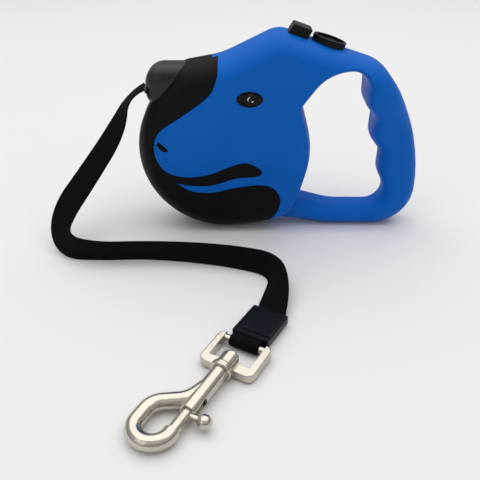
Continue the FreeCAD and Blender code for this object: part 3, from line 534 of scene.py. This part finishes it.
def dome(name, front, centre, long, short, lift, rise, finish, rows=10, count=64):
    """A shallow oval dome lying on the casing's face."""
    sign = -1 if front else 1
    vertices = []
    faces = []
    for row in range(rows):
        lean = math.pi / 2 * row / rows
        for k in range(count):
            turn = 2 * math.pi * k / count
            x = centre[0] + long * math.cos(lean) * math.cos(turn)
            z = centre[1] + short * math.cos(lean) * math.sin(turn)
            vertices.append((x, sign * (lift + rise * math.sin(lean)), z))
    vertices.append((centre[0], sign * (lift + rise), centre[1]))
    for row in range(rows - 1):
        for k in range(count):
            after = (k + 1) % count
            faces.append((row * count + k, row * count + after,
                          (row + 1) * count + after, (row + 1) * count + k))
    last = (rows - 1) * count
    for k in range(count):
        faces.append((last + k, last + (k + 1) % count, len(vertices) - 1))
    faces.append(tuple(range(count)))
    return new_piece(name, vertices, faces, "casing", finish)


def build_eye(front):
    label = "front" if front else "rear"
    eye = dome(label + "_eye_dome", front, EYE_CENTRE, EYE_LONG, EYE_SHORT, EYE_FACE, EYE_DOME,
               gloss_black)
    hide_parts(label + "_eye")
    x, z = EYE_CENTRE
    iris = dome(label + "_iris", front, (x + 0.6, z), IRIS_RADIUS, IRIS_RADIUS,
                EYE_FACE + IRIS_LIFT, IRIS_DOME, iris_brown)
    pupil = dome(label + "_pupil", front, (x + 0.7, z), PUPIL_RADIUS, PUPIL_RADIUS,
                 EYE_FACE + PUPIL_LIFT, PUPIL_DOME, gloss_black)
    glint = dome(label + "_glint", front, (x + 1.5, z - 0.9), GLINT_RADIUS, GLINT_RADIUS,
                 EYE_FACE + GLINT_LIFT, GLINT_DOME, glint_white, 4, 20)
    arc_glint(label, front, (x + 0.7, z), EYE_FACE + ARC_LIFT)


def arc_glint(label, front, centre, lift):
    """The thin pale crescent printed on the pupil."""
    sign = -1 if front else 1
    vertices = []
    count = 18
    for k in range(count + 1):
        turn = math.radians(between(95, 215, k / count))
        half = 0.28 * math.sin(math.pi * k / count) + 0.02
        for radius, rise in ((ARC_RADIUS - half, 0.0), (ARC_RADIUS, 0.1), (ARC_RADIUS + half, 0.0)):
            vertices.append((centre[0] + radius * math.cos(turn), sign * (lift + rise),
                             centre[1] + radius * math.sin(turn)))
    faces = []
    for k in range(count):
        for a in range(2):
            low = 3 * k + a
            faces.append((low, low + 1, low + 4, low + 3))
    piece = new_piece(label + "_arc_glint", vertices, faces, "casing", glint_white)


def build_nostril(front):
    """The small slanted mark in the muzzle, moulded as a low pad."""
    sign = -1 if front else 1
    closed = smooth_line(NOSTRIL + NOSTRIL[:1])[:-1]
    rim = even(closed, 0.3, True)
    centre = rim.mean(axis=0)
    vertices = []
    faces = []
    count = len(rim)
    base = casing_height(rim)
    for shrink, rise in ((1.0, -0.5), (1.0, 0.05), (0.93, 0.16), (0.8, 0.2)):
        ring = centre + (rim - centre) * shrink
        height = np.maximum(casing_height(ring), base - 0.5) + rise
        vertices += [(x, sign * y, z) for (x, z), y in zip(ring, height)]
    for row in range(3):
        for k in range(count):
            after = (k + 1) % count
            faces.append((row * count + k, row * count + after,
                          (row + 1) * count + after, (row + 1) * count + k))
    faces.append(tuple(3 * count + k for k in range(count)))
    label = "front" if front else "rear"
    piece = new_piece(label + "_nostril", vertices, faces, "casing", soft_black)


# ---- nose guide ------------------------------------------------------------------------
NOSE_FRONT = -76.3
NOSE_HALF = 11.0
NOSE_POINTS = (
    (NOSE_FRONT, 76.5, 7.0),
    (-48.0, 76.5, 1.0),
    (-48.0, 99.3, 1.0),
    (NOSE_FRONT, 99.3, 11.0),
)
NOSE_BEVEL = 8.0
NOSE_WALL = 2.5
SLOT_LONG = 8.8
SLOT_HIGH = 2.0


def build_nose():
    """The black guide the tape leaves through, rounded like a muzzle."""
    rim = even(rounded(NOSE_POINTS), 0.8, True)
    rows = [rim]
    count = 12
    for k in range(1, count + 1):
        rows.append(inset_line(rim, NOSE_BEVEL * (1 - math.cos(math.pi / 2 * k / count))))
    across = np.arange(-76, -47, 1.2)
    up = np.arange(76, 100, 1.2)
    grid = np.stack(np.meshgrid(across, up), axis=-1).reshape(-1, 2)
    loose = np.vstack(rows[1:] + [grid[distance(grid, rim) > NOSE_BEVEL * 1.05]])
    loose = thin_out(loose[inside(loose, rim) & (distance(loose, rim) > 0.05)], 0.1)
    edges = [(k, (k + 1) % len(rim)) for k in range(len(rim))]
    flat = [Vector(p) for p in [tuple(p) for p in rim] + loose]
    places, _, triangles, _, _, _ = delaunay_2d_cdt(flat, edges, [], 1, 1e-5)
    places = np.array([tuple(p) for p in places])
    height = NOSE_WALL + (NOSE_HALF - NOSE_WALL) * roll(distance(places, rim), NOSE_BEVEL, 2.2)
    vertices = [(x, -y, z) for (x, z), y in zip(places, height)]
    vertices += [(x, y, z) for (x, z), y in zip(places, height)]
    size = len(places)
    faces = [tuple(t) for t in triangles]
    faces += [tuple(size + i for i in reversed(t)) for t in triangles]
    order = [int(np.hypot(*(places - p).T).argmin()) for p in rim]
    for k, here in enumerate(order):
        there = order[(k + 1) % len(order)]
        faces.append((here, size + here, size + there, there))
    nose = new_piece("nose_guide_skin", vertices, faces, "casing", nose_black)
    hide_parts("nose_guide")


def build_slot_lip():
    """Raised oval lip round the slot in the nose, with a dark throat."""
    exit_x, _, exit_z = (c / MM for c in TAPE_ROUTE[0])
    count = 48
    profile = ((1.25, -0.8), (1.25, 0.15), (1.12, 0.42), (0.95, 0.42), (0.85, 0.15), (0.85, -2.5))
    vertices = []
    for grow, rise in profile:
        for k in range(count):
            turn = 2 * math.pi * k / count
            y = SLOT_LONG * grow ** 0.4 * math.copysign(abs(math.cos(turn)) ** 0.6, math.cos(turn))
            z = SLOT_HIGH * grow * math.sin(turn)
            vertices.append((exit_x + 0.5 - rise, y, exit_z + z))
    faces = []
    for row in range(len(profile) - 1):
        for k in range(count):
            after = (k + 1) % count
            faces.append((row * count + k, row * count + after,
                          (row + 1) * count + after, (row + 1) * count + k))
    faces.append(tuple((len(profile) - 1) * count + k for k in range(count)))
    lip = new_piece("slot_lip", vertices, faces, "casing", nose_black)


# ---- materials -------------------------------------------------------------------------
def material(name, colour, roughness, metallic=0.0):
    result = bpy.data.materials.new(name)
    result.use_nodes = True
    shader = result.node_tree.nodes["Principled BSDF"]
    shader.inputs["Base Color"].default_value = (*colour, 1)
    shader.inputs["Roughness"].default_value = roughness
    shader.inputs["Metallic"].default_value = metallic
    return result, result.node_tree, shader


def node(tree, kind, **values):
    made = tree.nodes.new(kind)
    for key, value in values.items():
        made.inputs[key.replace("_", " ")].default_value = value
    return made


def place_of(tree, source="Object"):
    return tree.nodes.new("ShaderNodeTexCoord").outputs[source]


def noise(tree, scale, detail=3.0, source=None):
    texture = node(tree, "ShaderNodeTexNoise", Scale=scale, Detail=detail)
    tree.links.new(source or place_of(tree), texture.inputs["Vector"])
    return texture.outputs["Fac"]


def spread(tree, factor, low, high):
    """Maps a 0 to 1 factor to a range, for a roughness."""
    ramp = node(tree, "ShaderNodeMapRange", To_Min=low, To_Max=high)
    ramp.inputs["From Min"].default_value = 0.3
    ramp.inputs["From Max"].default_value = 0.7
    tree.links.new(factor, ramp.inputs["Value"])
    return ramp.outputs["Result"]


def two_tone(tree, factor, low, high):
    ramp = tree.nodes.new("ShaderNodeValToRGB")
    ramp.color_ramp.elements[0].position = 0.3
    ramp.color_ramp.elements[0].color = (*low, 1)
    ramp.color_ramp.elements[1].position = 0.7
    ramp.color_ramp.elements[1].color = (*high, 1)
    tree.links.new(factor, ramp.inputs["Fac"])
    return ramp.outputs["Color"]


def bump(tree, shader, height, strength, depth):
    made = node(tree, "ShaderNodeBump", Strength=strength, Distance=depth)
    tree.links.new(height, made.inputs["Height"])
    tree.links.new(made.outputs["Normal"], shader.inputs["Normal"])
    return made


def moulded(name, colour, shade, roughness, grain, grain_depth, gloss_level=0.3, coat=0.0):
    """Injection moulded plastic: faint colour drift, uneven gloss and a fine grain."""
    result, tree, shader = material(name, colour, roughness)
    shader.inputs["Specular IOR Level"].default_value = gloss_level
    drift = noise(tree, 35, 2)
    tree.links.new(two_tone(tree, drift, colour, shade), shader.inputs["Base Color"])
    gloss = noise(tree, 260, 4)
    tree.links.new(spread(tree, gloss, roughness - 0.04, roughness + 0.05),
                   shader.inputs["Roughness"])
    bump(tree, shader, noise(tree, grain, 2), 0.35, grain_depth)
    shader.inputs["Coat Weight"].default_value = coat
    shader.inputs["Coat Roughness"].default_value = 0.2
    return result


def metal(name, colour, shade, roughness, grain, relief=0.12):
    result, tree, shader = material(name, colour, roughness, 1.0)
    tree.links.new(two_tone(tree, noise(tree, 90, 3), colour, shade), shader.inputs["Base Color"])
    tree.links.new(spread(tree, noise(tree, 420, 5), roughness - 0.05, roughness + 0.07),
                   shader.inputs["Roughness"])
    bump(tree, shader, noise(tree, grain, 2), relief, 0.00006)
    return result


def woven(name, colour, light):
    """Plain weave from the piece's own length and width coordinates, in metres."""
    result, tree, shader = material(name, colour, 0.82)
    uv = place_of(tree, "UV")
    parts = tree.nodes.new("ShaderNodeSeparateXYZ")
    tree.links.new(uv, parts.inputs["Vector"])
    warp = wave(tree, parts.outputs["X"], 2 * math.pi / 0.00075)
    weft = wave(tree, parts.outputs["Y"], 2 * math.pi / 0.0011)
    cross = math_node(tree, "MULTIPLY", warp, weft)
    weave = math_node(tree, "MULTIPLY_ADD", cross, 0.5, 0.5)
    fuzz = noise(tree, 2600, 2)
    mixed = math_node(tree, "MULTIPLY_ADD", fuzz, 0.45, weave)
    tree.links.new(two_tone(tree, weave, colour, light), shader.inputs["Base Color"])
    bump(tree, shader, mixed, 0.7, 0.00022)
    shader.inputs["Specular IOR Level"].default_value = 0.08
    return result


def math_node(tree, operation, *values):
    made = tree.nodes.new("ShaderNodeMath")
    made.operation = operation
    for socket, value in zip(made.inputs, values):
        if isinstance(value, (int, float)):
            socket.default_value = value
        else:
            tree.links.new(value, socket)
    return made.outputs["Value"]


def wave(tree, coordinate, turns):
    return math_node(tree, "SINE", math_node(tree, "MULTIPLY", coordinate, turns))


blue_plastic = moulded("blue_plastic", (0.0012, 0.118, 0.515), (0.0015, 0.130, 0.56), 0.44, 2400,
                       0.00002, 0.10)
soft_black = moulded("soft_black", (0.0030, 0.0030, 0.0034), (0.0048, 0.0048, 0.0052), 0.52, 3000,
                     0.00003, 0.10)
nose_black = moulded("nose_black", (0.0060, 0.0060, 0.0064), (0.0085, 0.0085, 0.0089), 0.36, 3000,
                     0.00003, 0.40)
black_plastic = moulded("black_plastic", (0.003, 0.003, 0.0034), (0.005, 0.005, 0.0054), 0.32, 1800,
                        0.00002, 0.16)
gloss_black = moulded("gloss_black", (0.002, 0.002, 0.002), (0.003, 0.003, 0.003), 0.08, 900,
                      0.00001, 0.16)
iris_brown = moulded("iris_brown", (0.022, 0.010, 0.005), (0.034, 0.016, 0.007), 0.14, 1600,
                     0.00001, 0.16)
glint_white = moulded("glint_white", (0.72, 0.72, 0.70), (0.80, 0.80, 0.78), 0.30, 1600, 0.00001)
white_plastic = moulded("white_plastic", (0.70, 0.69, 0.65), (0.76, 0.75, 0.71), 0.42, 1500, 0.00002)
steel = metal("steel", (0.52, 0.52, 0.53), (0.60, 0.60, 0.60), 0.26, 1500)
zinc_steel = metal("zinc_steel", (0.58, 0.58, 0.57), (0.66, 0.65, 0.62), 0.30, 1200)
spring_steel = metal("spring_steel", (0.33, 0.32, 0.31), (0.42, 0.41, 0.39), 0.30, 1500)
nickel = metal("nickel", (0.53, 0.49, 0.42), (0.62, 0.58, 0.50), 0.16, 260, 0.03)
webbing = woven("webbing", (0.0012, 0.0012, 0.0014), (0.0055, 0.0055, 0.0062))

# Finishes of the CAD nodes that stay in view; a redrawn piece brings its own.
NODE_MATERIALS = {
    "casing_screws": zinc_steel,
    "axle": steel,
    "spring_arbor": white_plastic,
    "spool_drum": white_plastic,
    "rear_flange": white_plastic,
    "spring_cover": white_plastic,
    "spool_screws": zinc_steel,
    "power_spring": spring_steel,
    "brake_button": black_plastic,
    "lock_slider": black_plastic,
    "tape_sleeve": black_plastic,
    "swivel_eye": nickel,
    "swivel_post": nickel,
    "hook_body": nickel,
    "hook_bolt": nickel,
    "bolt_knob": nickel,
}


def dress_frame():
    for name, finish in NODE_MATERIALS.items():
        mesh = NODES[name].data
        mesh.materials.clear()
        mesh.materials.append(finish)


# ---- tape ------------------------------------------------------------------------------
TAPE_WIDTH = 15.0
TAPE_THICKNESS = 1.0
TAPE_ROUTE = (
    (-0.0763, 0.0, 0.0859),
    (-0.0865, -0.0035, 0.0825),
    (-0.0935, -0.0110, 0.0635),
    (-0.1110, -0.0185, 0.0395),
    (-0.1285, -0.0270, 0.0170),
    (-0.1240, -0.0460, 0.0080),
    (-0.1030, -0.0505, 0.0075),
    (-0.0780, -0.0490, 0.0075),
    (-0.0520, -0.0510, 0.0075),
    (-0.0270, -0.0555, 0.0075),
    (-0.0040, -0.0635, 0.0072),
    (-0.0040, -0.0830, 0.0042),
    (-0.0082, -0.1004, 0.0030),
)
# Which way the tape's upper edge points at each point of the route.
TAPE_EDGE_WAY = (
    (0.0, -1.0, 0.0),
    (0.1, -0.95, 0.1),
    (0.85, -0.45, 0.25),
    (0.88, -0.30, 0.15),
    (0.93, -0.10, 0.10),
    (0.50, 0.05, 0.86),
    (0.02, -0.20, 0.97),
    (0.0, -0.22, 0.98),
    (0.0, -0.12, 0.99),
    (0.05, 0.0, 1.0),
    (0.30, 0.10, 0.93),
    (0.88, -0.12, 0.40),
    (0.95, -0.30, 0.0),
)


def spline_points(points):
    """Evenly read points of a NURBS spline with these control points."""
    curve = bpy.data.curves.new("route", "CURVE")
    curve.dimensions = "3D"
    curve.resolution_u = 24
    line = curve.splines.new("NURBS")
    line.points.add(len(points) - 1)
    for point, place in zip(line.points, points):
        point.co = (*place, 1)
    line.order_u = 3
    line.use_endpoint_u = True
    holder = bpy.data.objects.new("route", curve)
    mesh = bpy.data.meshes.new_from_object(holder)
    result = [v.co.copy() for v in mesh.vertices]
    bpy.data.objects.remove(holder)
    bpy.data.curves.remove(curve)
    bpy.data.meshes.remove(mesh)
    return result


def ribbon_section(width, thickness):
    """Cross-section of woven tape: flat faces, round thicker selvedges."""
    half = width / 2
    thick = thickness / 2
    upper = []
    count = 16
    for k in range(count + 1):
        across = -1 + 2 * k / count
        edge = max(0.0, abs(across) - 0.86) / 0.14
        body = thick * (1 + 0.12 * math.exp(-((abs(across) - 0.90) / 0.04) ** 2))
        upper.append((across * half, body * math.sqrt(max(0.0, 1 - edge ** 4))))
    lower = [(a, -h) for a, h in reversed(upper[1:-1])]
    return upper + lower


def ribbon(name, centres, ways, width, thickness, body):
    """A flat tape swept along points, its upper edge turned the given way."""
    section = ribbon_section(width, thickness)
    count = len(section)
    vertices = []
    along = 0.0
    rows = []
    for k, place in enumerate(centres):
        before = centres[max(k - 1, 0)]
        after = centres[min(k + 1, len(centres) - 1)]
        heading = (after - before).normalized()
        edge = (ways[k] - heading * ways[k].dot(heading)).normalized()
        out = heading.cross(edge)
        if k:
            along += (place - before).length
        rows.append(along)
        for across, rise in section:
            vertices.append((place + edge * across * MM + out * rise * MM) / MM)
    faces = []
    for k in range(len(centres) - 1):
        for a in range(count):
            b = (a + 1) % count
            faces.append((k * count + a, k * count + b, (k + 1) * count + b, (k + 1) * count + a))
    faces.append(tuple(range(count)))
    last = (len(centres) - 1) * count
    faces.append(tuple(last + a for a in reversed(range(count))))
    piece = new_piece(name, vertices, faces, body, webbing)
    layer = piece.data.uv_layers.new(name="weave")
    for polygon in piece.data.polygons:
        for loop in polygon.loop_indices:
            index = piece.data.loops[loop].vertex_index
            layer.data[loop].uv = (section[index % count][0] * MM, rows[index // count])
    return piece


def build_tape(loop, bolt_coil):
    centres = spline_points(TAPE_ROUTE)
    beside = [Vector(p) + Vector(w).normalized() * 0.01 for p, w in zip(TAPE_ROUTE, TAPE_EDGE_WAY)]
    edges = spline_points(beside)
    ways = [(e - c).normalized() for e, c in zip(edges, centres)]
    tape = ribbon("leash_tape_ribbon", centres, ways, TAPE_WIDTH, TAPE_THICKNESS, "casing")
    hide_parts("leash_tape")
    return tape


# ---- loop of tape round the swivel eye's bar ---------------------------------------------
HOOK_ORIGIN = Vector((-30.9, -141.2, 5.6))
HOOK_HEADING = Vector((-0.487, -0.873, 0)).normalized()
HOOK_SIDE = Vector((HOOK_HEADING.y, -HOOK_HEADING.x, 0))
HOOK_DROP = math.radians(2.2)
SLEEVE_DROP = math.radians(1.2)
BAR_DISTANCE = 20.0
EYE_SINK = 2.8
LOOP_RADIUS = 2.65
LOOP_START = -12.0


def leaned(angle):
    """The hook's heading tilted downwards by an angle."""
    return HOOK_HEADING * math.cos(angle) - Vector((0, 0, math.sin(angle)))


def build_tape_loop():
    hook_along = leaned(HOOK_DROP)
    bar = HOOK_ORIGIN - hook_along * BAR_DISTANCE - HOOK_SIDE.cross(hook_along) * EYE_SINK
    along = leaned(-SLEEVE_DROP)
    up = HOOK_SIDE.cross(along)
    flat = [(LOOP_START, 0.55), (-8.0, 0.55), (-5.0, 0.65), (-3.6, 1.5)]
    for k in range(21):
        turn = math.radians(125 - 250 * k / 20)
        flat.append((LOOP_RADIUS * math.cos(turn), LOOP_RADIUS * math.sin(turn)))
    flat += [(y, -z) for y, z in reversed(flat[:4])]
    points = [(bar + along * y + up * z) * MM for y, z in flat]
    loop = ribbon("tape_loop_ribbon", points, [HOOK_SIDE] * len(points),
                  TAPE_WIDTH, TAPE_THICKNESS * 0.9, "casing")
    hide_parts("tape_loop")
    return loop


# ---- tape inside the casing ------------------------------------------------------------
HUB_RADIUS = 24.0
ROLL_TURNS = 14
ROLL_PITCH = 0.95
INNER_BOW = 0.25


def build_tape_roll():
    """The wound tape as one spiral that turns with the spool."""
    steps = 40
    points = []
    for k in range(ROLL_TURNS * steps - steps // 2):
        turn = 2 * math.pi * k / steps
        radius = HUB_RADIUS + ROLL_PITCH * (0.5 + k / steps)
        place = Vector((DRUM_X + radius * math.sin(turn), 0, DRUM_Z + radius * math.cos(turn)))
        points.append(place * MM)
    roll_piece = ribbon("tape_roll_wound", points, [Vector((0, 1, 0))] * len(points),
                        TAPE_WIDTH, ROLL_PITCH * 0.84, "spool")
    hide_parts("tape_roll")


def build_tape_inner():
    """The stretch between the roll and the nose, slightly bowed by its own stiffness."""
    low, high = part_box("tape_inner")
    start = Vector((low[0], 0, low[2] + TAPE_THICKNESS * MM / 2))
    end = Vector((high[0], 0, high[2] - TAPE_THICKNESS * MM / 2))
    if abs(start.z - TAPE_ROUTE[0][2]) > abs(end.z - TAPE_ROUTE[0][2]):
        start.z, end.z = end.z, start.z
    count = 16
    points = []
    for k in range(count + 1):
        place = start.lerp(end, k / count)
        place.z -= INNER_BOW * MM * math.sin(math.pi * k / count)
        points.append(place)
    inner = ribbon("tape_inner_ribbon", points, [Vector((0, 1, 0))] * len(points),
                   TAPE_WIDTH, TAPE_THICKNESS * 0.9, "casing")
    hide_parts("tape_inner")


# ---- return springs for the brake and the hook's bolt -----------------------------------
BRAKE_TILT = math.radians(31.75)
BRAKE_SEAT = 55.1               # from the drum's centre
BRAKE_COIL = {"radius": 4.4, "wire": 0.55, "length": 10.7, "turns": 5}
BOLT_SEAT = 7.1                 # from the hook's origin, along its heading
BOLT_COIL = {"radius": 2.1, "wire": 0.32, "length": 13.6, "turns": 7}
COIL_STEPS = 28                 # sections in one turn
WIRE_SIDES = 8
END_SHARE = 0.35                # how much the end turns close up, from 0 to 1


def coil_spring(name, start, along, radius, wire, length, turns, body):
    """A compression coil whose turns lie closer together at its ends."""
    along = along.normalized()
    across = along.orthogonal().normalized()
    other = along.cross(across)
    total = COIL_STEPS * turns
    vertices = []
    for k in range(total + 1):
        share = k / total
        climb = between(share, ease(between(-0.06, 1.06, share)), END_SHARE)
        place = start + along * (wire + (length - 2 * wire) * climb)
        turn = 2 * math.pi * k / COIL_STEPS
        out = across * math.cos(turn) + other * math.sin(turn)
        for a in range(WIRE_SIDES):
            lean = 2 * math.pi * a / WIRE_SIDES
            centre = place + out * radius
            vertices.append(centre + (out * math.cos(lean) + along * math.sin(lean)) * wire)
    faces = []
    for k in range(total):
        for a in range(WIRE_SIDES):
            b = (a + 1) % WIRE_SIDES
            faces.append((k * WIRE_SIDES + a, k * WIRE_SIDES + b,
                          (k + 1) * WIRE_SIDES + b, (k + 1) * WIRE_SIDES + a))
    faces.append(tuple(reversed(range(WIRE_SIDES))))
    faces.append(tuple(total * WIRE_SIDES + a for a in range(WIRE_SIDES)))
    spring = new_piece(name, vertices, faces, body, spring_steel)
    return spring


def build_springs():
    """Both return springs; gives back the one inside the hook."""
    out = Vector((math.sin(BRAKE_TILT), 0, math.cos(BRAKE_TILT)))
    seat = Vector((DRUM_X, 0, DRUM_Z)) + out * BRAKE_SEAT
    brake = coil_spring("brake_coil", seat, out, body="casing", **BRAKE_COIL)
    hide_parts("brake_spring")
    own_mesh(brake)
    along = leaned(HOOK_DROP)
    seat = HOOK_ORIGIN + along * BOLT_SEAT
    bolt = coil_spring("bolt_coil", seat, along, body="hook", **BOLT_COIL)
    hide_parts("bolt_spring")
    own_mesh(bolt)
    return bolt


# ---- studio ----------------------------------------------------------------------------
CAMERA_PLACE = (-0.0235, -0.35125, 0.20427)
CAMERA_PITCH = 57.84
CAMERA_LENS = 48.0


def build_camera():
    data = bpy.data.cameras.new("camera")
    data.lens = CAMERA_LENS
    data.sensor_width = 36.0
    data.clip_start = 0.01
    camera = bpy.data.objects.new("camera", data)
    camera.location = CAMERA_PLACE
    camera.rotation_euler = (math.radians(CAMERA_PITCH), 0, 0)
    bpy.context.scene.collection.objects.link(camera)
    bpy.context.scene.camera = camera


def area_light(name, place, target, size, power, colour=(1, 1, 1)):
    data = bpy.data.lights.new(name, "AREA")
    data.shape = "RECTANGLE"
    data.size, data.size_y = size
    data.energy = power
    data.color = colour
    light = bpy.data.objects.new(name, data)
    light.location = place
    light.rotation_euler = (Vector(target) - Vector(place)).to_track_quat("-Z", "Y").to_euler()
    bpy.context.scene.collection.objects.link(light)


def build_studio():
    mesh = bpy.data.meshes.new("floor")
    reach = 6.0
    corners = [(-reach, -reach, 0), (reach, -reach, 0), (reach, reach, 0), (-reach, reach, 0)]
    mesh.from_pydata(corners, [], [(0, 1, 2, 3)])
    floor = bpy.data.objects.new("floor", mesh)
    bpy.context.scene.collection.objects.link(floor)
    paper, tree, shader = material("pale_paper", (0.85, 0.84, 0.825), 0.62)
    shader.inputs["Specular IOR Level"].default_value = 0.25
    bump(tree, shader, noise(tree, 900, 2), 0.05, 0.0001)
    mesh.materials.append(paper)
    floor.location.z = -0.0002
    world = bpy.data.worlds.new("studio")
    world.use_nodes = True
    tree = world.node_tree
    parts = tree.nodes.new("ShaderNodeSeparateXYZ")
    tree.links.new(place_of(tree, "Generated"), parts.inputs["Vector"])
    sky = two_tone(tree, parts.outputs["Z"], (0.56, 0.56, 0.58), (1.0, 1.0, 1.02))
    tree.links.new(sky, tree.nodes["Background"].inputs["Color"])
    tree.nodes["Background"].inputs["Strength"].default_value = 0.62
    bpy.context.scene.world = world
    bpy.context.scene.view_settings.view_transform = "Standard"
    area_light("top", (0.0, 0.20, 1.0), (0, 0, 0), (1.9, 1.5), 9.6)
    area_light("front_left", (-0.8, -0.80, 0.60), (0, 0, 0.04), (0.7, 0.7), 0.8)


# ---- assembly --------------------------------------------------------------------------
build_camera()
dress_frame()
build_tape(build_tape_loop(), build_springs())
build_tape_roll()
build_tape_inner()
build_nose()
build_slot_lip()
for front in (True, False):
    casing_half(front)
    build_eye(front)
    build_nostril(front)
build_studio()
